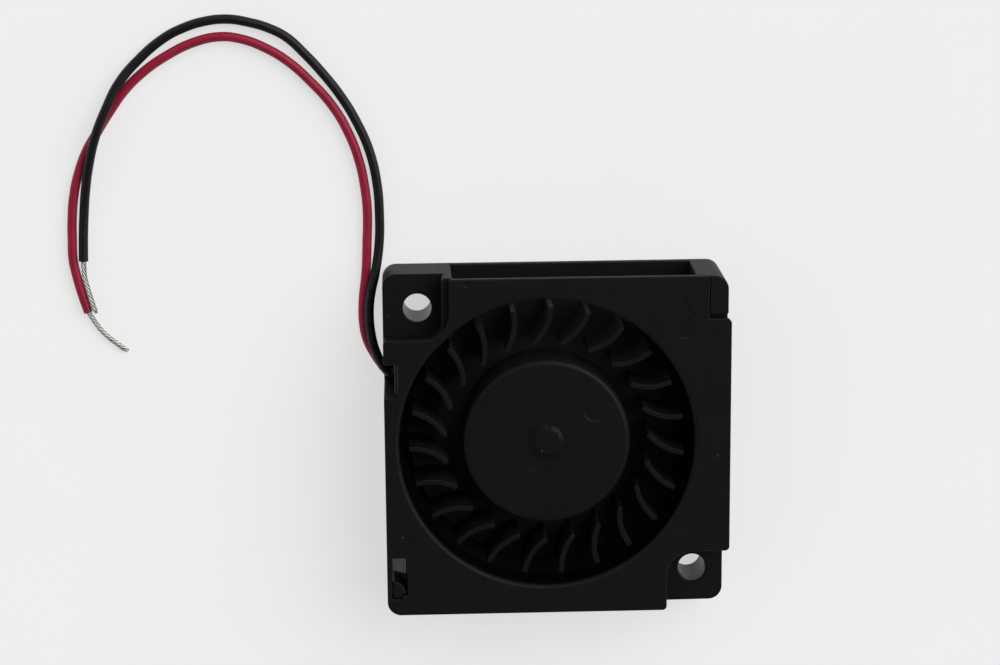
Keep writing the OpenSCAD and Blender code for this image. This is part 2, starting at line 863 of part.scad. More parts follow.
base_housing();
front_cover();
sleeve_bearing();
thrust_pad();
lower_insulator();
stator_core();
upper_insulator();
coil(1);  // coil_1
coil(2);  // coil_2
coil(3);  // coil_3
coil(4);  // coil_4
circuit_board();
motor_driver();
chip_components();
terminal_pins();
solder_joints();
red_lead_tail();
black_lead_tail();
red_lead();
black_lead();
red_strands();
black_strands();
impeller();
rotor_yoke();
ring_magnet();
shaft();
retaining_ring();
oil_washer();
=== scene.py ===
import json
import math

import bmesh
import bpy
from bpy.props import FloatProperty, FloatVectorProperty, IntProperty, PointerProperty
from bpy.types import Operator, Panel, PropertyGroup
from mathutils import Euler, Matrix, Vector


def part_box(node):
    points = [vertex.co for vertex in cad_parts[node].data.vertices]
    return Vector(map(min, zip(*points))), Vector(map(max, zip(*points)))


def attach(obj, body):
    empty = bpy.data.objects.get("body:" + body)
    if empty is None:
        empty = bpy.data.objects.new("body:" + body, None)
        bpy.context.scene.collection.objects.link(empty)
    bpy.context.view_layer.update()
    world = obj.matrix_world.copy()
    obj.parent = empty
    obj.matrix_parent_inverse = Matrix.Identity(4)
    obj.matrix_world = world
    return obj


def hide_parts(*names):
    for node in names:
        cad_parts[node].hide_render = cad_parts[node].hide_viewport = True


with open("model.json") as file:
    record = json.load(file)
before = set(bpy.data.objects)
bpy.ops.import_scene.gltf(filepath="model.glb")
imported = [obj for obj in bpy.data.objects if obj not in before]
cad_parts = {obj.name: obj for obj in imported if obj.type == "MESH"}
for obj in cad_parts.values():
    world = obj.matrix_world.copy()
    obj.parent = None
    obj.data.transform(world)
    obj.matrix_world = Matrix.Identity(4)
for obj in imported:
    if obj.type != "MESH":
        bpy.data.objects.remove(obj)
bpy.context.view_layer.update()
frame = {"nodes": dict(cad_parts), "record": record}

bl_info = {
    "name": "Radial blower",
    "version": (1, 0, 0),
    "blender": (4, 5, 0),
    "location": "View3D > Sidebar > Blower",
    "description": "Dresses the frame of a small radial blower and sets it on a studio floor",
    "category": "Object",
}

# Places that come from the frame

COVER_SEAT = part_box("front_cover")[0][2]
COVER_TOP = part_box("front_cover")[1][2]
ROTOR_AXIS = Vector(frame["record"]["behaviour"]["joints"][0]["pos_m"])

# Routes of the leads in metres, from the housing to the bare ends

BLACK_ROUTE = (
    (-0.02, 0.008, 0.0022), (-0.0208, 0.0096, 0.0021), (-0.0214, 0.0118, 0.00185),
    (-0.0216, 0.0145, 0.0016), (-0.0214, 0.0166, 0.0015), (-0.0208, 0.0192, 0.001),
    (-0.0203, 0.0225, 0.0006), (-0.0202, 0.026, 0.0006), (-0.0204, 0.0295, 0.0006),
    (-0.0212, 0.0334, 0.0006), (-0.0227, 0.037, 0.0006), (-0.0244, 0.0399, 0.0006),
    (-0.0262, 0.0423, 0.0006), (-0.0285, 0.0449, 0.0006), (-0.0304, 0.0467, 0.0006),
    (-0.0322, 0.0477, 0.0006), (-0.0347, 0.0485, 0.0006), (-0.0373, 0.0489, 0.0006),
    (-0.0401, 0.0486, 0.0006), (-0.0423, 0.0479, 0.0006), (-0.0443, 0.0469, 0.0006),
    (-0.0473, 0.0445, 0.0008), (-0.0497, 0.0418, 0.0013), (-0.0512, 0.039, 0.0017),
    (-0.0526, 0.0357, 0.00175), (-0.0535, 0.0324, 0.0015), (-0.0541, 0.0292, 0.0009),
    (-0.0544, 0.0266, 0.0006), (-0.0546, 0.0238, 0.0006), (-0.0547, 0.021, 0.0007),
)
RED_ROUTE = (
    (-0.02, 0.0077, 0.00105), (-0.021, 0.0092, 0.0009), (-0.0219, 0.011, 0.0007),
    (-0.0223, 0.013, 0.0006), (-0.0223, 0.0156, 0.0006), (-0.0219, 0.0191, 0.0006),
    (-0.0217, 0.0228, 0.0006), (-0.0216, 0.0264, 0.0006), (-0.0218, 0.0289, 0.0006),
    (-0.0224, 0.0322, 0.0006), (-0.0236, 0.0356, 0.0006), (-0.0254, 0.0388, 0.0006),
    (-0.0279, 0.0417, 0.0006), (-0.0304, 0.044, 0.0006), (-0.033, 0.0456, 0.0006),
    (-0.0356, 0.0466, 0.0006), (-0.038, 0.0469, 0.0006), (-0.041, 0.0463, 0.0006),
    (-0.0442, 0.0448, 0.0006), (-0.047, 0.0429, 0.0006), (-0.0492, 0.0408, 0.0006),
    (-0.0509, 0.0385, 0.0006), (-0.0524, 0.0362, 0.0006), (-0.0538, 0.0339, 0.0006),
    (-0.0549, 0.0311, 0.0006), (-0.0555, 0.0286, 0.0006), (-0.0558, 0.026, 0.0006),
    (-0.0559, 0.0235, 0.0006), (-0.0559, 0.0212, 0.0006), (-0.0555, 0.0189, 0.0006),
    (-0.055, 0.0169, 0.0006), (-0.0544, 0.0149, 0.0006),
)
BLACK_STRAND_ROUTE = (
    (-0.0547, 0.021, 0.0007), (-0.0546, 0.019, 0.0008), (-0.0542, 0.0173, 0.0009),
    (-0.0538, 0.0158, 0.001), (-0.0535, 0.0148, 0.001),
)
RED_STRAND_ROUTE = (
    (-0.0544, 0.0149, 0.0006), (-0.054, 0.0142, 0.00055), (-0.0532, 0.0129, 0.00045),
    (-0.0521, 0.0117, 0.0004), (-0.051, 0.0108, 0.00035), (-0.05, 0.01, 0.00035),
)
BLACK_TAIL_ROUTE = (
    (-0.02, 0.008, 0.0022), (-0.0193, 0.0074, 0.0022), (-0.0184, 0.0076, 0.0022),
    (-0.0175, 0.0084, 0.002), (-0.0167, 0.0093, 0.0016), (-0.0156, 0.0099, 0.0012),
    (-0.0144, 0.0099, 0.00105), (-0.0133, 0.0093, 0.00105), (-0.01207, 0.00847, 0.00105),
    (-0.00792, 0.00567, 0.00105),
)
RED_TAIL_ROUTE = (
    (-0.02, 0.0077, 0.00105), (-0.0193, 0.0071, 0.00105), (-0.0183, 0.0071, 0.00105),
    (-0.0172, 0.0076, 0.00105), (-0.0161, 0.00835, 0.00105), (-0.0151, 0.0087, 0.00105),
    (-0.014, 0.0083, 0.00105), (-0.01274, 0.00747, 0.00105), (-0.00859, 0.00468, 0.00105),
)


# Settings

class ShellSettings(PropertyGroup):
    """Sizes and colours of the moulded housing and cover"""

    edge_radius: FloatProperty(
        name="Edge radius", description="Radius of the moulded edges",
        default=0.00016, min=0.00002, max=0.0003, unit="LENGTH", precision=5)
    edge_steps: IntProperty(
        name="Edge steps", description="Faces across a rounded edge", default=3, min=1, max=6)
    housing_colour: FloatVectorProperty(
        name="Housing", description="Colour of the moulded housing",
        default=(0.0036, 0.0036, 0.0038), size=3, min=0, max=1, subtype="COLOR")
    cover_colour: FloatVectorProperty(
        name="Cover", description="Colour of the moulded cover",
        default=(0.0039, 0.0039, 0.0043), size=3, min=0, max=1, subtype="COLOR")
    arrow_at: FloatVectorProperty(
        name="Arrow place", description="Foot of the flow arrow in the cover",
        default=(0.01455, 0.0127), size=2, unit="LENGTH", precision=5)
    arrow_length: FloatProperty(
        name="Arrow length", description="Length of the flow arrow",
        default=0.0050, unit="LENGTH", precision=5)
    arrow_head: FloatVectorProperty(
        name="Arrow head", description="Width and length of the head of the flow arrow",
        default=(0.00285, 0.0025), size=2, unit="LENGTH", precision=5)
    arrow_shaft: FloatProperty(
        name="Arrow shaft", description="Width of the shaft of the flow arrow",
        default=0.0017, unit="LENGTH", precision=5)
    seam_at: FloatVectorProperty(
        name="Post seam", description="Place where the seam of the corner post starts",
        default=(0.01745, 0.0152), size=2, unit="LENGTH", precision=5)
    seam_fill: FloatProperty(
        name="Seam fill", description="How far the cover reaches into the seam of the corner post",
        default=0.00006, min=0, max=0.00009, unit="LENGTH", precision=5)
    notch_at: FloatVectorProperty(
        name="Lead notch", description="Wall, lower end and upper end of the lead notch",
        default=(-0.01845, 0.0062, 0.0101), size=3, unit="LENGTH", precision=5)
    rim_out: FloatProperty(
        name="Notch rim", description="How far the rim of the housing shows in the lead notch",
        default=0.0003, min=0, max=0.0005, unit="LENGTH", precision=5)
    notch_growth: FloatProperty(
        name="Notch rounding", description="How much rounder the edges at the lead notch are",
        default=1.8, min=1, max=2.5)
    bore_at: FloatVectorProperty(
        name="Bore", description="Place of one mounting bore, the other lies opposite",
        default=(0.016, -0.016), size=2, unit="LENGTH", precision=5)
    bore_radius: FloatProperty(
        name="Bore radius", description="Radius of the mounting bores",
        default=0.00165, unit="LENGTH", precision=5)
    clip_at: FloatVectorProperty(
        name="Clip ramp", description="Place of the smooth ramp of the clip lug",
        default=(-0.0187, -0.0143), size=2, unit="LENGTH", precision=5)
    clip_reach: FloatProperty(
        name="Clip ramp reach", description="How far the smooth ramp of the clip lug reaches",
        default=0.0016, unit="LENGTH", precision=5)
    gate_at: FloatVectorProperty(
        name="Gate mark", description="Place of the round gate mark at the edge of the cover",
        default=(-0.0103, 0.01945), size=2, unit="LENGTH", precision=5)
    gate_radius: FloatProperty(
        name="Gate mark radius", description="Radius of the gate mark",
        default=0.00045, unit="LENGTH", precision=5)
    mark_depth: FloatProperty(
        name="Mark depth", description="Depth of the marks in the mouldings",
        default=0.00014, unit="LENGTH", precision=5)


class ImpellerSettings(PropertyGroup):
    """Sizes and colour of the impeller"""

    edge_radius: FloatProperty(
        name="Edge radius", description="Radius of the edges on top of the blades",
        default=0.0001, min=0.00002, max=0.0002, unit="LENGTH", precision=5)
    edge_steps: IntProperty(
        name="Edge steps", description="Faces across a rounded edge", default=3, min=1, max=6)
    colour: FloatVectorProperty(
        name="Impeller", description="Colour of the moulded impeller",
        default=(0.0044, 0.0041, 0.0044), size=3, min=0, max=1, subtype="COLOR")
    # Painted light: a lighter, warmer colour low between the blades stands in for light reaching
    # the dark interior
    interior_light_colour: FloatVectorProperty(
        name="Painted interior light", description="Colour painted low between the blades as light in the interior",
        default=(0.0105, 0.0075, 0.0088), size=3, min=0, max=1, subtype="COLOR")
    interior_light_heights: FloatVectorProperty(
        name="Painted light heights", description="Heights where the painted interior light is full and where it ends",
        default=(0.0074, 0.0086), size=2, unit="LENGTH", precision=5)
    hub_level: FloatProperty(
        name="Hub level", description="Height of the blade tops and of the flat of the hub",
        default=0.009, unit="LENGTH", precision=5)
    cone_ring: FloatVectorProperty(
        name="Cone", description="Inner and outer radius of the smooth cone on the hub",
        default=(0.00132, 0.0022), size=2, unit="LENGTH", precision=5)
    mark_at: FloatVectorProperty(
        name="Pin mark", description="Place of the ejector mark on the hub, from the axis",
        default=(0.0055, 0.0035), size=2, unit="LENGTH", precision=5)
    mark_radius: FloatProperty(
        name="Pin mark radius", description="Radius of the ejector mark on the hub",
        default=0.0012, unit="LENGTH", precision=5)


class LeadSettings(PropertyGroup):
    """Sizes and colours of the leads"""

    diameter: FloatProperty(
        name="Diameter", description="Diameter over the insulation",
        default=0.0011, unit="LENGTH", precision=5)
    black_length: FloatProperty(
        name="Black length", description="Insulated length of the black lead",
        default=0.0866, unit="LENGTH", precision=4)
    red_length: FloatProperty(
        name="Red length", description="Insulated length of the red lead",
        default=0.0890, unit="LENGTH", precision=4)
    red_colour: FloatVectorProperty(
        name="Red", description="Colour of the red insulation",
        default=(0.29, 0.010, 0.036), size=3, min=0, max=1, subtype="COLOR")
    black_colour: FloatVectorProperty(
        name="Black", description="Colour of the black insulation",
        default=(0.0046, 0.0042, 0.0044), size=3, min=0, max=1, subtype="COLOR")
    strand_count: IntProperty(
        name="Strands", description="Bare strands in one lead", default=5, min=3, max=19)
    strand_diameter: FloatProperty(
        name="Strand diameter", description="Diameter of one bare strand",
        default=0.00023, unit="LENGTH", precision=5)
    bundle_diameter: FloatProperty(
        name="Bundle diameter", description="Diameter over the twisted strands",
        default=0.00062, unit="LENGTH", precision=5)
    twist_pitch: FloatProperty(
        name="Twist pitch", description="Length of one turn of the twist",
        default=0.0028, unit="LENGTH", precision=5)


class StageSettings(PropertyGroup):
    """Floor, surroundings, key light and camera"""

    floor_colour: FloatVectorProperty(
        name="Floor", description="Colour of the floor",
        default=(0.80, 0.80, 0.79), size=3, min=0, max=1, subtype="COLOR")
    floor_size: FloatProperty(
        name="Floor size", description="Length of each side of the floor",
        default=12.0, unit="LENGTH")
    floor_glow: FloatProperty(
        name="Floor glow", description="How far the floor is seen as a lit white table",
        default=0.6, min=0, max=1, subtype="FACTOR")
    tent_level: FloatProperty(
        name="Tent", description="Brightness of the white surroundings", default=0.8)
    card_level: FloatProperty(
        name="Card", description="Brightness of the dark card beside the camera", default=0.10)
    card_way: FloatVectorProperty(
        name="Card direction", description="Direction in which the dark card stands",
        default=(0.05, -0.27, 0.96), size=3, subtype="DIRECTION")
    card_end: FloatProperty(
        name="Card end", description="Angle from the card's middle at which it fades",
        default=math.radians(33), subtype="ANGLE")
    tent_start: FloatProperty(
        name="Tent start", description="Angle from the card's middle at which the tent is white",
        default=math.radians(68), subtype="ANGLE")
    key_strength: FloatProperty(
        name="Key light", description="Strength of the soft key light", default=2.0)
    key_way: FloatVectorProperty(
        name="Key direction", description="Direction that the key light comes from",
        default=(0.61, 0.43, 0.67), size=3, subtype="DIRECTION")
    key_width: FloatProperty(
        name="Key width", description="Angle that the key light spans",
        default=math.radians(60), subtype="ANGLE")
    camera_lens: FloatProperty(
        name="Lens", description="Focal length of the camera in millimetres",
        default=93.66, unit="CAMERA")
    camera_place: FloatVectorProperty(
        name="Camera place", description="Place of the camera",
        default=(-0.01691, 0.08067, 0.29920), size=3, subtype="TRANSLATION", precision=5)
    camera_turn: FloatVectorProperty(
        name="Camera turn", description="Rotation of the camera",
        default=[math.radians(a) for a in (-12.995, -2.154, -0.492)], size=3, subtype="EULER")


# Meshes and pieces

MERGE_DISTANCE = 1e-6
LEVEL_SLACK = 1e-5
SEAM_SLACK = 1e-4
FLAT_ANGLE = math.radians(0.4)
EDGE_ANGLE = math.radians(30)
SHARP_ANGLE = math.radians(40)
MARK_DRAFT = 1.1    # width of a mark's sloping side, as a share of its depth


def finish_piece(piece, body, node_name):
    """Let a piece ride on its body and stand for its CAD node, which is hidden."""
    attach(piece, body)
    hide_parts(node_name)


def new_piece(name, mesh, material):
    """Link a new object at the origin."""
    mesh.materials.append(material)
    piece = bpy.data.objects.new(name, mesh)
    bpy.context.scene.collection.objects.link(piece)
    return piece


def merged_copy(node_name):
    """A CAD node's mesh with its triangles joined and its flat faces made whole."""
    work = bmesh.new()
    work.from_mesh(frame["nodes"][node_name].data)
    bmesh.ops.remove_doubles(work, verts=work.verts, dist=MERGE_DISTANCE)
    bmesh.ops.dissolve_limit(
        work, angle_limit=FLAT_ANGLE, verts=work.verts, edges=work.edges)
    return work


def round_edges(work, edges, radius, steps):
    """Round the given edges as a mould does."""
    bmesh.ops.bevel(
        work, geom=edges, offset=radius, offset_type="OFFSET", segments=steps,
        profile=0.5, affect="EDGES", material=-1, clamp_overlap=False)


def is_corner(edge):
    """Whether an edge is an outer corner of a moulding."""
    return edge.is_manifold and edge.is_convex and edge.calc_face_angle() > EDGE_ANGLE


def on_seam(vert, seam):
    """Whether a corner lies at the tight seam between the cover and the corner post."""
    return abs(vert.co.x - seam[0]) < SEAM_SLACK and vert.co.y > seam[1]


def shell_edges(work, shell):
    """The corners of a shell moulding that the mould rounds."""
    return [
        e for e in work.edges
        if is_corner(e) and not all(on_seam(v, shell.seam_at) for v in e.verts)]


def round_notch(work, shell, top, out):
    """Widen the rounded edge of the lead notch at a level and set it out from the wall."""
    wall, low, high = shell.notch_at
    reach = shell.edge_radius + LEVEL_SLACK
    for vert in work.verts:
        x, y, z = vert.co
        if -LEVEL_SLACK < x - wall < reach and low - reach < y < high + reach and z > top - reach:
            vert.co.x = wall - out + shell.notch_growth * (x - wall)
            vert.co.z = top - shell.notch_growth * (top - z)


def smooth_mesh(work, name):
    """Turn the working mesh into a smooth-shaded mesh that keeps its sharp corners."""
    for face in work.faces:
        face.smooth = True
    for edge in work.edges:
        edge.smooth = edge.calc_face_angle(math.pi) < SHARP_ANGLE
    mesh = bpy.data.meshes.new(name)
    work.to_mesh(mesh)
    work.free()
    return mesh


def even_shading(piece):
    """Shade wide faces flat and let the rounded edges take the turn."""
    weighted = piece.modifiers.new("Even shading", "WEIGHTED_NORMAL")
    weighted.keep_sharp = True


def engraving_tool(outline, top, depth):
    """A block with a flat outline that narrows below the top of the piece it cuts."""
    work = bmesh.new()
    floor = work.faces.new([work.verts.new((x, y, top)) for x, y in reversed(outline)])
    work.normal_update()
    bmesh.ops.inset_region(
        work, faces=[floor], thickness=MARK_DRAFT * depth, depth=depth, use_boundary=True,
        use_even_offset=True)
    rim = [e for e in work.edges if e.is_boundary]
    risen = bmesh.ops.extrude_edge_only(work, edges=rim)["geom"]
    lifted = [v for v in risen if isinstance(v, bmesh.types.BMVert)]
    bmesh.ops.translate(work, verts=lifted, vec=(0, 0, depth))
    bmesh.ops.holes_fill(work, edges=[e for e in work.edges if e.is_boundary])
    bmesh.ops.recalc_face_normals(work, faces=work.faces)
    mesh = bpy.data.meshes.new("Engraving tool")
    work.to_mesh(mesh)
    work.free()
    tool = bpy.data.objects.new("Engraving tool", mesh)
    bpy.context.scene.collection.objects.link(tool)
    return tool


def evaluated_mesh(source):
    """The mesh of an object as its modifiers or its curve make it."""
    bpy.context.view_layer.update()
    return bpy.data.meshes.new_from_object(
        source.evaluated_get(bpy.context.evaluated_depsgraph_get()))


def engrave(piece, outline, top, depth):
    """Sink a flat outline with drafted sides into the top of a piece."""
    tool = engraving_tool(outline, top, depth)
    cut = piece.modifiers.new("Engrave", "BOOLEAN")
    cut.operation = "DIFFERENCE"
    cut.solver = "EXACT"
    cut.object = tool
    engraved = evaluated_mesh(piece)
    piece.modifiers.remove(cut)
    work = bmesh.new()
    work.from_mesh(engraved)
    material = engraved.materials[0]
    piece.data = smooth_mesh(work, piece.name)
    piece.data.materials.append(material)
    spent = (tool.data, engraved)
    bpy.data.objects.remove(tool)
    for mesh in spent:
        bpy.data.meshes.remove(mesh)


def disc_outline(x, y, radius, steps=40):
    """Corners of a round outline."""
    turns = [2 * math.pi * i / steps for i in range(steps)]
    return [(x + radius * math.cos(a), y + radius * math.sin(a)) for a in turns]


# Leads

LEAD_ROUNDNESS = 5
LEAD_STEPS = 8
STRAND_ROUNDNESS = 2
LINE_STEPS = 12
BURIED = 0.0006         # length of the strands inside the insulation
CUT_STAGGER = 3         # how unevenly the strands are cut
SPLAY = 0.15            # how far the strands open at the cut end
SPLAY_START = 0.8       # share of the length at which they begin to open


def tube(name, route, diameter, material):
    """A round lead along a route, as a curve of one open spline."""
    curve = bpy.data.curves.new(name, "CURVE")
    curve.dimensions = "3D"
    curve.bevel_depth = diameter / 2
    curve.bevel_resolution = LEAD_ROUNDNESS
    curve.resolution_u = LEAD_STEPS
    curve.use_fill_caps = True
    spline = curve.splines.new("BEZIER")
    spline.bezier_points.add(len(route) - 1)
    for point, place in zip(spline.bezier_points, route):
        point.co = place
        point.handle_left_type = "AUTO"
        point.handle_right_type = "AUTO"
    curve.materials.append(material)
    piece = bpy.data.objects.new(name, curve)
    bpy.context.scene.collection.objects.link(piece)
    return piece


def smooth_line(route, steps):
    """Points at even parameter steps along a smooth line through a route."""
    ends = [2 * Vector(route[0]) - Vector(route[1]), 2 * Vector(route[-1]) - Vector(route[-2])]
    knots = [ends[0], *[Vector(p) for p in route], ends[1]]
    line = []
    for a, b, c, d in zip(knots, knots[1:], knots[2:], knots[3:]):
        for i in range(steps):
            t = i / steps
            line.append(0.5 * (
                2 * b + (c - a) * t + (2 * a - 5 * b + 4 * c - d) * t ** 2
                + (3 * b - a - 3 * c + d) * t ** 3))
    line.append(Vector(route[-1]))
    return line


def add_line(curve, points):
    """Add a straight-sided spline through the given points."""
    spline = curve.splines.new("POLY")
    spline.points.add(len(points) - 1)
    for point, place in zip(spline.points, points):
        point.co = (*place, 1)


def strand_bundle(name, route, leads, material):
    """Bare strands twisted round a route, a little spread at the cut end."""
    way = (Vector(route[0]) - Vector(route[1])).normalized()
    start = Vector(route[0]) + BURIED * way
    line = smooth_line((start, *route), LINE_STEPS)
    curve = bpy.data.curves.new(name, "CURVE")
    curve.dimensions = "3D"
    curve.bevel_depth = leads.strand_diameter / 2
    curve.bevel_resolution = STRAND_ROUNDNESS
    curve.use_fill_caps = True
    ring = (leads.bundle_diameter - leads.strand_diameter) / 2
    for k in range(leads.strand_count):
        phase = 2 * math.pi * k / leads.strand_count
        cut = 1 + (k * CUT_STAGGER) % leads.strand_count
        add_line(curve, twisted_points(line[:-cut], ring, phase, leads.twist_pitch))
    add_line(curve, line)
    source = bpy.data.objects.new(name + " curve", curve)
    bpy.context.scene.collection.objects.link(source)
    mesh = evaluated_mesh(source)
    bpy.data.objects.remove(source)
    bpy.data.curves.remove(curve)
    mesh.name = name
    mesh.shade_smooth()
    return new_piece(name, mesh, material)


def twisted_points(line, ring, phase, pitch):
    """Points of one strand that winds round a line."""
    points = []
    run = 0
    total = sum((b - a).length for a, b in zip(line, line[1:]))
    for i, place in enumerate(line):
        ahead = line[min(i + 1, len(line) - 1)]
        behind = line[max(i - 1, 0)]
        way = (ahead - behind).normalized()
        side = way.cross(Vector((0, 0, 1))).normalized()
        rise = side.cross(way)
        run += (place - behind).length
        opening = 1 + SPLAY * max(0, run / total - SPLAY_START) / (1 - SPLAY_START)
        turn = phase + 2 * math.pi * run / pitch
        points.append(place + ring * opening * (math.cos(turn) * side + math.sin(turn) * rise))
    return points


# Materials, with the scales of their textures in cells per metre

RING_SLACK = 0.00005
DUST_COLOUR = (0.10, 0.10, 0.095)
# Shares of the roughness that are left where the mould is ground smooth
BORE_SHARES = (0.6, 0.55)
RAMP_SHARE = 0.5
CONE_SHARE = 0.78


def shader(name):
    """A new node material: its tree, its main shader and its object coordinates."""
    material = bpy.data.materials.new(name)
    material.use_nodes = True
    tree = material.node_tree
    main = tree.nodes["Principled BSDF"]
    place = tree.nodes.new("ShaderNodeTexCoord").outputs["Object"]
    return material, tree, main, place


def noise(tree, place, scale, detail=2.0, roughness=0.5):
    """A noise texture's value."""
    node = tree.nodes.new("ShaderNodeTexNoise")
    node.inputs["Scale"].default_value = scale
    node.inputs["Detail"].default_value = detail
    node.inputs["Roughness"].default_value = roughness
    tree.links.new(place, node.inputs["Vector"])
    return node.outputs["Fac"]


def spread(tree, value, low, high, start=0.3, end=0.7):
    """Map a texture's middle range onto two values."""
    node = tree.nodes.new("ShaderNodeMapRange")
    node.inputs["From Min"].default_value = start
    node.inputs["From Max"].default_value = end
    node.inputs["To Min"].default_value = low
    node.inputs["To Max"].default_value = high
    tree.links.new(value, node.inputs["Value"])
    return node.outputs["Result"]


def combine(tree, operation, first, second):
    """The result of a math operation on two values."""
    node = tree.nodes.new("ShaderNodeMath")
    node.operation = operation
    tree.links.new(first, node.inputs[0])
    tree.links.new(second, node.inputs[1])
    return node.outputs["Value"]


def blend_colours(tree, amount, first, second):
    """Mix two colours, or a socket's colour and a colour."""
    node = tree.nodes.new("ShaderNodeMix")
    node.data_type = "RGBA"
    for socket, colour in ((node.inputs["A"], first), (node.inputs["B"], second)):
        if isinstance(colour, bpy.types.NodeSocket):
            tree.links.new(colour, socket)
        else:
            socket.default_value = (*colour, 1)
    tree.links.new(amount, node.inputs["Factor"])
    return node.outputs["Result"]


def relief(tree, main, height, strength, distance):
    """Let a texture stand out of the surface."""
    node = tree.nodes.new("ShaderNodeBump")
    node.inputs["Strength"].default_value = strength
    node.inputs["Distance"].default_value = distance
    tree.links.new(height, node.inputs["Height"])
    tree.links.new(node.outputs["Normal"], main.inputs["Normal"])


def tinted(colour, factor):
    """A darker or lighter tint of a colour."""
    return tuple(min(1, c * factor) for c in colour)


def clouded(tree, place, colour, scale, dark, light, detail=4, roughness=0.6):
    """A colour that drifts in soft clouds between a darker and a lighter tint."""
    cloud = spread(tree, noise(tree, place, scale, detail, roughness), 0, 1)
    return blend_colours(tree, cloud, tinted(colour, dark), tinted(colour, light))


def bands(tree, place, width, distortion):
    """Level bands of an even width: their value."""
    node = tree.nodes.new("ShaderNodeTexWave")
    node.bands_direction = "Z"
    node.inputs["Scale"].default_value = math.pi / (10 * width)
    node.inputs["Distortion"].default_value = distortion
    tree.links.new(place, node.inputs["Vector"])
    return node.outputs["Fac"]


def dust(tree, place, scale, size):
    """Sparse specks of dust: 1 on a speck and 0 elsewhere."""
    cells = tree.nodes.new("ShaderNodeTexVoronoi")
    cells.inputs["Scale"].default_value = scale
    tree.links.new(place, cells.inputs["Vector"])
    speck = spread(tree, cells.outputs["Distance"], 1, 0, start=0.5 * size, end=size)
    some = spread(tree, noise(tree, place, 0.45 * scale), 0, 1, start=0.55, end=0.60)
    return combine(tree, "MULTIPLY", speck, some)


def polished(tree, place, roughness, x, y, inner, outer, share):
    """A share of the roughness on a ring round an axis, where the mould is ground smooth."""
    flat = tree.nodes.new("ShaderNodeVectorMath")
    flat.operation = "MULTIPLY"
    flat.inputs[1].default_value = (1, 1, 0)
    tree.links.new(place, flat.inputs[0])
    reach = tree.nodes.new("ShaderNodeVectorMath")
    reach.operation = "DISTANCE"
    reach.inputs[1].default_value = (x, y, 0)
    tree.links.new(flat.outputs["Vector"], reach.inputs[0])
    within = spread(tree, reach.outputs["Value"], 1, share, inner - RING_SLACK, inner)
    beyond = spread(tree, reach.outputs["Value"], share, 1, outer, outer + RING_SLACK)
    return combine(tree, "MULTIPLY", roughness, combine(tree, "MAXIMUM", within, beyond))


def painted_interior_light(tree, place, body, colour, full, end):
    """Blend in a lighter colour as painted light in a dark interior, from none at one height to
    full at a lower one.
    """
    height = tree.nodes.new("ShaderNodeSeparateXYZ")
    tree.links.new(place, height.inputs["Vector"])
    return blend_colours(tree, spread(tree, height.outputs["Z"], 1, 0, full, end), body, colour)


def satin_plastic(name, colour, roughness, specular, smooth_rings=(), interior_light=None):
    """Black moulded plastic with a fine spark-eroded texture, a little dust and, where asked,
    painted light low down.
    """
    material, tree, main, place = shader(name)
    body = clouded(tree, place, colour, scale=260, dark=0.9, light=1.12)
    # Painted light: a lighter, warmer colour low down stands in for light reaching the dark
    # interior
    if interior_light:
        body = painted_interior_light(tree, place, body, *interior_light)
    specks = dust(tree, place, scale=520, size=0.055)
    tree.links.new(blend_colours(tree, specks, body, DUST_COLOUR), main.inputs["Base Color"])
    worn = noise(tree, place, scale=900, detail=5, roughness=0.65)
    gloss = spread(tree, worn, roughness - 0.05, roughness + 0.06)
    for ring in smooth_rings:
        gloss = polished(tree, place, gloss, *ring)
    tree.links.new(gloss, main.inputs["Roughness"])
    main.inputs["Specular IOR Level"].default_value = specular
    grain = noise(tree, place, scale=6500, detail=3, roughness=0.6)
    relief(tree, main, grain, strength=0.22, distance=0.000012)
    return material


def insulation(name, colour, roughness):
    """Soft wire insulation with faint drawing marks and scuffs."""
    material, tree, main, place = shader(name)
    body = clouded(tree, place, colour, scale=380, dark=0.88, light=1.12)
    scratches = noise(tree, place, scale=2600, detail=3, roughness=0.7)
    scuffs = spread(tree, scratches, 0, 0.35, start=0.62, end=0.74)
    tree.links.new(
        blend_colours(tree, scuffs, body, tinted(colour, 1.6)), main.inputs["Base Color"])
    worn = noise(tree, place, scale=1500, detail=4)
    tree.links.new(
        spread(tree, worn, roughness - 0.05, roughness + 0.08), main.inputs["Roughness"])
    main.inputs["Specular IOR Level"].default_value = 0.25
    drawn = noise(tree, place, scale=3200, detail=3)
    relief(tree, main, drawn, strength=0.12, distance=0.00002)
    return material


def bare_metal(name, colour, roughness, scale=2500):
    """Metal with fine colour and gloss variation."""
    material, tree, main, place = shader(name)
    tree.links.new(
        clouded(tree, place, colour, scale, dark=0.75, light=1.1), main.inputs["Base Color"])
    worn = noise(tree, place, scale * 2)
    tree.links.new(
        spread(tree, worn, roughness - 0.08, roughness + 0.1), main.inputs["Roughness"])
    main.inputs["Metallic"].default_value = 1
    relief(tree, main, noise(tree, place, scale * 3), strength=0.1, distance=0.00001)
    return material


def stacked_sheets(name, colour, sheet):
    """Stacked steel sheets: dark joints at even heights."""
    material, tree, main, place = shader(name)
    layers = bands(tree, place, sheet, distortion=0.4)
    joints = spread(tree, layers, 1, 0, start=0.05, end=0.3)
    steel = clouded(tree, place, colour, scale=1800, dark=0.8, light=1.1, roughness=0.5)
    tree.links.new(
        blend_colours(tree, joints, steel, tinted(colour, 0.25)), main.inputs["Base Color"])
    worn = noise(tree, place, scale=3000)
    tree.links.new(spread(tree, worn, 0.32, 0.5), main.inputs["Roughness"])
    main.inputs["Metallic"].default_value = 1
    relief(tree, main, layers, strength=0.3, distance=0.00003)
    return material


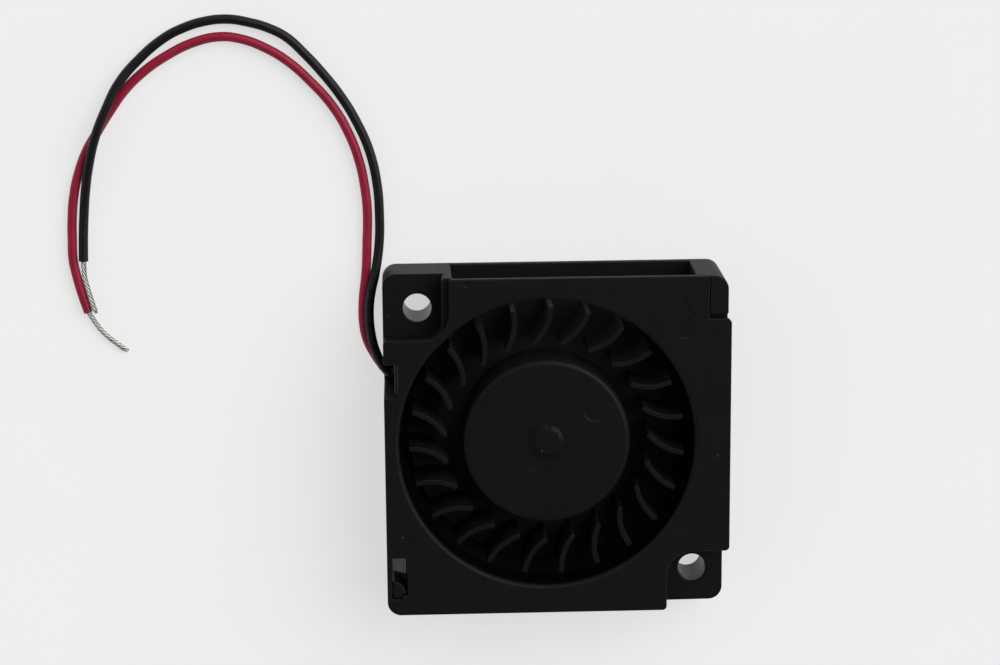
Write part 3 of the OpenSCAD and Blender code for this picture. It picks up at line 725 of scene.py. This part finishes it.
def wound_wire(name, colour, wire):
    """Enamelled wire laid side by side."""
    material, tree, main, place = shader(name)
    turns = bands(tree, place, wire, distortion=0.6)
    tree.links.new(
        blend_colours(tree, turns, tinted(colour, 0.35), tinted(colour, 1.15)),
        main.inputs["Base Color"])
    worn = noise(tree, place, scale=2200)
    tree.links.new(spread(tree, worn, 0.22, 0.36), main.inputs["Roughness"])
    main.inputs["Metallic"].default_value = 0.85
    main.inputs["Coat Weight"].default_value = 0.4
    relief(tree, main, turns, strength=0.6, distance=0.00005)
    return material


def plain_plastic(name, colour, roughness):
    """Moulded plastic of the inner pieces."""
    material, tree, main, place = shader(name)
    tree.links.new(
        clouded(tree, place, colour, scale=700, dark=0.88, light=1.06), main.inputs["Base Color"])
    worn = noise(tree, place, scale=1600)
    tree.links.new(
        spread(tree, worn, roughness - 0.06, roughness + 0.08), main.inputs["Roughness"])
    grain = noise(tree, place, scale=4000, detail=3)
    relief(tree, main, grain, strength=0.15, distance=0.00001)
    return material


def dress(node_name, material):
    """Give a CAD node that is kept as it is a better material."""
    for slot in frame["nodes"][node_name].material_slots:
        slot.material = material


# Operators

class BLOWER_OT_leads(Operator):
    """Lay the two leads, their tails in the housing and their bare strands"""

    bl_idname = "blower.leads"
    bl_label = "Leads"

    def execute(self, context):
        leads = context.scene.blower_leads
        tin = bare_metal("Tinned strands", (0.50, 0.50, 0.48), roughness=0.24)
        red = insulation("Red insulation", leads.red_colour, roughness=0.40)
        black = insulation("Black insulation", leads.black_colour, roughness=0.42)
        self.lay("red", RED_ROUTE, RED_TAIL_ROUTE, RED_STRAND_ROUTE, leads.red_length, red, tin)
        self.lay(
            "black", BLACK_ROUTE, BLACK_TAIL_ROUTE, BLACK_STRAND_ROUTE, leads.black_length,
            black, tin)
        return {"FINISHED"}

    def lay(self, colour, route, tail_route, strand_route, length, material, tin):
        leads = bpy.context.scene.blower_leads
        lead = tube(colour + "_wire", route, leads.diameter, material)
        finish_piece(lead, "housing", colour + "_lead")
        tail = tube(colour + "_wire_tail", tail_route, leads.diameter, material)
        finish_piece(tail, "housing", colour + "_lead_tail")
        bundle = strand_bundle(colour + "_strand_bundle", strand_route, leads, tin)
        finish_piece(bundle, "housing", colour + "_strands")


class BLOWER_OT_housing(Operator):
    """Make the moulded housing with rounded edges"""

    bl_idname = "blower.housing"
    bl_label = "Housing"

    def execute(self, context):
        shell = context.scene.blower_shell
        work = merged_copy("base_housing")
        round_edges(work, shell_edges(work, shell), shell.edge_radius, shell.edge_steps)
        round_notch(work, shell, COVER_SEAT, out=shell.rim_out)
        material = satin_plastic(
            "Black housing", shell.housing_colour, roughness=0.54, specular=0.16,
            smooth_rings=self.smooth_rings(shell))
        piece = new_piece("housing_moulding", smooth_mesh(work, "housing_moulding"), material)
        even_shading(piece)
        finish_piece(piece, "housing", "base_housing")
        return {"FINISHED"}

    def smooth_rings(self, shell):
        """Place, radii and share of roughness of the smooth bores and of the clip's ramp."""
        x, y = shell.bore_at
        places = ((x, y), (-x, -y))
        bores = [(*p, 0, shell.bore_radius, share) for p, share in zip(places, BORE_SHARES)]
        return [*bores, (*shell.clip_at, 0, shell.clip_reach, RAMP_SHARE)]


class BLOWER_OT_cover(Operator):
    """Make the cover with rounded edges, the sunk flow arrow and the gate mark"""

    bl_idname = "blower.cover"
    bl_label = "Cover"

    def execute(self, context):
        shell = context.scene.blower_shell
        work = merged_copy("front_cover")
        seam_side = [v for v in work.verts if on_seam(v, shell.seam_at)]
        bmesh.ops.translate(work, verts=seam_side, vec=(shell.seam_fill, 0, 0))
        round_edges(work, shell_edges(work, shell), shell.edge_radius, shell.edge_steps)
        round_notch(work, shell, COVER_TOP, out=0)
        material = satin_plastic("Black cover", shell.cover_colour, roughness=0.54, specular=0.15)
        piece = new_piece("cover_moulding", smooth_mesh(work, "cover_moulding"), material)
        engrave(piece, self.arrow(shell), COVER_TOP, shell.mark_depth)
        gate = disc_outline(*shell.gate_at, shell.gate_radius)
        engrave(piece, gate, COVER_TOP, shell.mark_depth)
        even_shading(piece)
        finish_piece(piece, "housing", "front_cover")
        return {"FINISHED"}

    def arrow(self, shell):
        """Outline of the flow arrow, which points out of the outlet."""
        x, y = shell.arrow_at
        head_w, head_l = shell.arrow_head
        neck = y + shell.arrow_length - head_l
        right = [
            (x + shell.arrow_shaft / 2, y), (x + shell.arrow_shaft / 2, neck),
            (x + head_w / 2, neck)]
        left = [(2 * x - a, b) for a, b in reversed(right)]
        return [*right, (x, y + shell.arrow_length), *left]


class BLOWER_OT_impeller(Operator):
    """Make the impeller with rounded blade tops and the pin mark on its hub"""

    bl_idname = "blower.impeller"
    bl_label = "Impeller"

    def execute(self, context):
        settings = context.scene.blower_impeller
        work = merged_copy("impeller")
        tops = [e for e in work.edges if is_corner(e) and self.on_top(e, settings.hub_level)]
        round_edges(work, tops, settings.edge_radius, settings.edge_steps)
        material = satin_plastic(
            "Black impeller", settings.colour, roughness=0.50, specular=0.15,
            smooth_rings=[(ROTOR_AXIS.x, ROTOR_AXIS.y, *settings.cone_ring, CONE_SHARE)],
            # The light in the interior is painted: a lighter colour low between the blades
            interior_light=(settings.interior_light_colour, *settings.interior_light_heights))
        piece = new_piece("impeller_moulding", smooth_mesh(work, "impeller_moulding"), material)
        x, y = settings.mark_at
        outline = disc_outline(ROTOR_AXIS.x + x, ROTOR_AXIS.y + y, settings.mark_radius)
        engrave(piece, outline, settings.hub_level, context.scene.blower_shell.mark_depth)
        even_shading(piece)
        finish_piece(piece, "rotor", "impeller")
        return {"FINISHED"}

    def on_top(self, edge, level):
        """Whether an edge lies at the level of the blade tops."""
        return all(abs(v.co.z - level) < LEVEL_SLACK for v in edge.verts)


class BLOWER_OT_motor(Operator):
    """Finish the pieces of the motor inside the hub"""

    bl_idname = "blower.motor"
    bl_label = "Motor"

    def execute(self, context):
        natural = plain_plastic("Natural plastic", (0.72, 0.69, 0.60), roughness=0.45)
        tin = bare_metal("Tinned joints", (0.62, 0.62, 0.60), roughness=0.30)
        copper = wound_wire("Enamelled copper", (0.48, 0.20, 0.07), wire=0.0002)
        bronze = bare_metal("Sintered bronze", (0.45, 0.27, 0.12), roughness=0.5, scale=6000)
        finishes = {
            "sleeve_bearing": bronze,
            "thrust_pad": natural,
            "lower_insulator": natural,
            "upper_insulator": natural,
            "stator_core": stacked_sheets("Lamination steel", (0.42, 0.43, 0.45), sheet=0.00035),
            "circuit_board": plain_plastic("Solder mask", (0.03, 0.16, 0.07), roughness=0.32),
            "motor_driver": plain_plastic("Chip package", (0.03, 0.03, 0.032), roughness=0.5),
            "chip_components": plain_plastic("Chip ceramic", (0.40, 0.28, 0.18), roughness=0.5),
            "terminal_pins": tin,
            "solder_joints": tin,
            "rotor_yoke": bare_metal("Plated steel", (0.45, 0.46, 0.48), roughness=0.35),
            "ring_magnet": plain_plastic("Bonded ferrite", (0.06, 0.055, 0.055), roughness=0.6),
            "shaft": bare_metal("Ground steel", (0.65, 0.66, 0.67), roughness=0.2),
            "retaining_ring": natural,
            "oil_washer": plain_plastic("Washer plastic", (0.05, 0.05, 0.055), roughness=0.5),
        }
        for coil in ("coil_1", "coil_2", "coil_3", "coil_4"):
            finishes[coil] = copper
        for node_name, material in finishes.items():
            dress(node_name, material)
        return {"FINISHED"}


class BLOWER_OT_stage(Operator):
    """Set up the floor, the surroundings, the key light and the camera"""

    bl_idname = "blower.stage"
    bl_label = "Stage"

    def execute(self, context):
        stage = context.scene.blower_stage
        self.floor(stage)
        self.surroundings(stage)
        self.key_light(stage)
        self.camera(stage)
        context.scene.view_settings.view_transform = "Standard"
        return {"FINISHED"}

    def floor(self, stage):
        """A wide pale floor."""
        work = bmesh.new()
        bmesh.ops.create_grid(work, x_segments=1, y_segments=1, size=stage.floor_size / 2)
        mesh = bpy.data.meshes.new("Floor")
        work.to_mesh(mesh)
        work.free()
        material, tree, main, place = shader("Floor")
        tone = clouded(
            tree, place, stage.floor_colour, scale=60, dark=0.99, light=1.01, detail=3,
            roughness=0.5)
        tree.links.new(tone, main.inputs["Base Color"])
        main.inputs["Roughness"].default_value = 0.9
        main.inputs["Specular IOR Level"].default_value = 0.1
        self.glow(tree, main, stage.floor_glow)
        new_piece("Floor", mesh, material)

    def glow(self, tree, main, amount):
        """Show the floor as a white table to the eye and in reflections, with its shadow."""
        rays = tree.nodes.new("ShaderNodeLightPath").outputs
        seen = rays["Is Camera Ray"]
        for ray in ("Is Glossy Ray", "Is Transmission Ray"):
            seen = combine(tree, "MAXIMUM", seen, rays[ray])
        white = tree.nodes.new("ShaderNodeEmission")
        blend = tree.nodes.new("ShaderNodeMixShader")
        tree.links.new(spread(tree, seen, 0, amount, 0, 1), blend.inputs["Fac"])
        tree.links.new(main.outputs["BSDF"], blend.inputs[1])
        tree.links.new(white.outputs["Emission"], blend.inputs[2])
        tree.links.new(
            blend.outputs["Shader"], tree.nodes["Material Output"].inputs["Surface"])

    def surroundings(self, stage):
        """A white tent with a dark card beside the camera."""
        world = bpy.data.worlds.new("Studio")
        world.use_nodes = True
        bpy.context.scene.world = world
        tree = world.node_tree
        aim = tree.nodes.new("ShaderNodeVectorMath")
        aim.operation = "DOT_PRODUCT"
        aim.inputs[1].default_value = Vector(stage.card_way).normalized()
        tree.links.new(tree.nodes.new("ShaderNodeTexCoord").outputs["Generated"], aim.inputs[0])
        level = spread(
            tree, aim.outputs["Value"], stage.tent_level, stage.card_level,
            math.cos(stage.tent_start), math.cos(stage.card_end))
        level.node.interpolation_type = "SMOOTHSTEP"
        tree.links.new(level, tree.nodes["Background"].inputs["Strength"])
        tree.nodes["Background"].inputs["Color"].default_value = (1, 1, 1, 1)

    def key_light(self, stage):
        """A soft distant lamp that shines from the given direction."""
        light = bpy.data.lights.new("Key light", "SUN")
        light.energy = stage.key_strength
        light.angle = stage.key_width
        lamp = bpy.data.objects.new("Key light", light)
        lamp.rotation_euler = Vector(stage.key_way).to_track_quat("Z", "Y").to_euler()
        bpy.context.scene.collection.objects.link(lamp)

    def camera(self, stage):
        """A camera at the viewing angle of the photograph."""
        lens = bpy.data.cameras.new("Camera")
        lens.lens = stage.camera_lens
        camera = bpy.data.objects.new("Camera", lens)
        turn = Euler(stage.camera_turn).to_matrix().to_4x4()
        camera.matrix_world = Matrix.Translation(stage.camera_place) @ turn
        bpy.context.scene.collection.objects.link(camera)
        bpy.context.scene.camera = camera


class BLOWER_PT_parts(Panel):
    """Steps and sizes of the blower"""

    bl_label = "Radial blower"
    bl_space_type = "VIEW_3D"
    bl_region_type = "UI"
    bl_category = "Blower"

    def draw(self, context):
        for operator in OPERATORS:
            self.layout.operator(operator.bl_idname)
        for group in SETTINGS:
            box = self.layout.box()
            settings = getattr(context.scene, group)
            for key in settings.bl_rna.properties.keys():
                if key not in ("rna_type", "name"):
                    box.prop(settings, key)


OPERATORS = (
    BLOWER_OT_stage, BLOWER_OT_leads, BLOWER_OT_housing, BLOWER_OT_cover, BLOWER_OT_impeller,
    BLOWER_OT_motor)
SETTINGS = {
    "blower_shell": ShellSettings,
    "blower_impeller": ImpellerSettings,
    "blower_leads": LeadSettings,
    "blower_stage": StageSettings,
}
CLASSES = (*SETTINGS.values(), *OPERATORS, BLOWER_PT_parts)


def register():
    for each in CLASSES:
        bpy.utils.register_class(each)
    for name, group in SETTINGS.items():
        setattr(bpy.types.Scene, name, PointerProperty(type=group))


def unregister():
    for name in SETTINGS:
        delattr(bpy.types.Scene, name)
    for each in reversed(CLASSES):
        bpy.utils.unregister_class(each)


def main():
    register()
    bpy.ops.blower.stage()
    bpy.ops.blower.leads()
    bpy.ops.blower.housing()
    bpy.ops.blower.cover()
    bpy.ops.blower.impeller()
    bpy.ops.blower.motor()
    bpy.context.view_layer.update()


if __name__ == "__main__":
    main()
